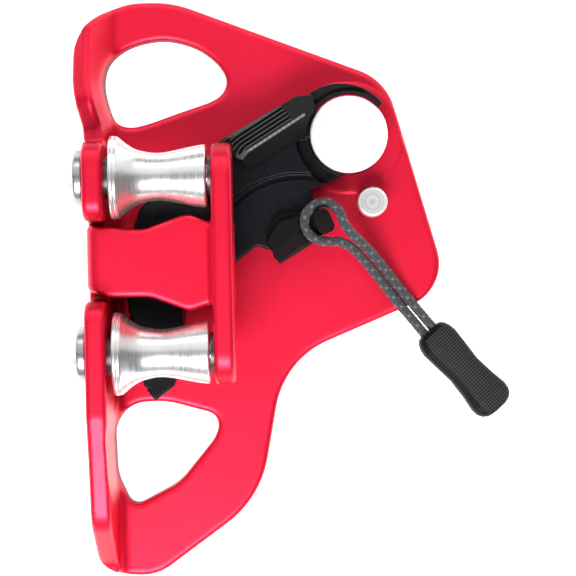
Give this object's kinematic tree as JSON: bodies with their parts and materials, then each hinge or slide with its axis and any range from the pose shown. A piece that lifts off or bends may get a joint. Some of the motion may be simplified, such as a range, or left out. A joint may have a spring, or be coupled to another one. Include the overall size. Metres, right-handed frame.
{
  "type": "ventral rope clamp",
  "caption": "Folded red plate clamp with a sprung toothed cam, thumb lever, safety catch on a cord with a grip, and guide rollers for a rope.",
  "frame": {"origin": "on the back face of the plate, under the middle of the rope's run, midway between the two roller axes", "axes": "+Z from the back of the plate towards the rollers, +Y along the rope towards the upper eye, +X from the rope towards the cam's pivot"},
  "size_m": [0.1079, 0.1433, 0.0343],
  "materials": {
    "red_anodised": "satin anodised",
    "rivet_steel": "polished",
    "steel": "machined",
    "cam_steel": "satin black",
    "roller_alloy": "brushed",
    "bronze": "plain",
    "spring_steel": "plain",
    "black_plastic": "matte",
    "cord_grey": "braided"
  },
  "bodies": {
    "body": {"frame": "red_anodised", "pivot_rivet": "rivet_steel", "pivot_washer": "steel", "stop_pin": "steel", "cam_spring": "spring_steel", "upper_axle": "rivet_steel", "lower_axle": "rivet_steel", "upper_washer_left": "steel", "upper_washer_right": "steel", "lower_washer_left": "steel", "lower_washer_right": "steel"},
    "cam": {"cam": "cam_steel", "cam_bush": "bronze", "thumb_lever": "black_plastic", "catch_pin": "steel", "catch_spring": "spring_steel"},
    "catch": {"safety_catch": "cam_steel", "pull_cord": "cord_grey", "cord_grip": "black_plastic"},
    "upper_roller": {"upper_roller": "roller_alloy", "upper_bush": "bronze"},
    "lower_roller": {"lower_roller": "roller_alloy", "lower_bush": "bronze"}
  },
  "joints": [
    {"name": "cam_pivot", "type": "hinge", "parent": "body", "child": "cam", "pos_m": [0.0461, 0.031, 0.01], "axis": [0, 0, 1], "range_deg": [0, 32], "stiffness_Nm_per_rad": 0.06, "springref_deg": -34.38},
    {"name": "catch_pivot", "type": "hinge", "parent": "cam", "child": "catch", "pos_m": [0.03, 0.0075, 0.016], "axis": [0, 0, 1], "range_deg": [-8, 0], "stiffness_Nm_per_rad": 0.06, "springref_deg": 11.46},
    {"name": "upper_roller_spin", "type": "hinge", "parent": "body", "child": "upper_roller", "pos_m": [0, 0.02115, 0.0243], "axis": [1, 0, 0], "continuous": true},
    {"name": "lower_roller_spin", "type": "hinge", "parent": "body", "child": "lower_roller", "pos_m": [0, -0.02115, 0.0243], "axis": [1, 0, 0], "continuous": true}
  ]
}
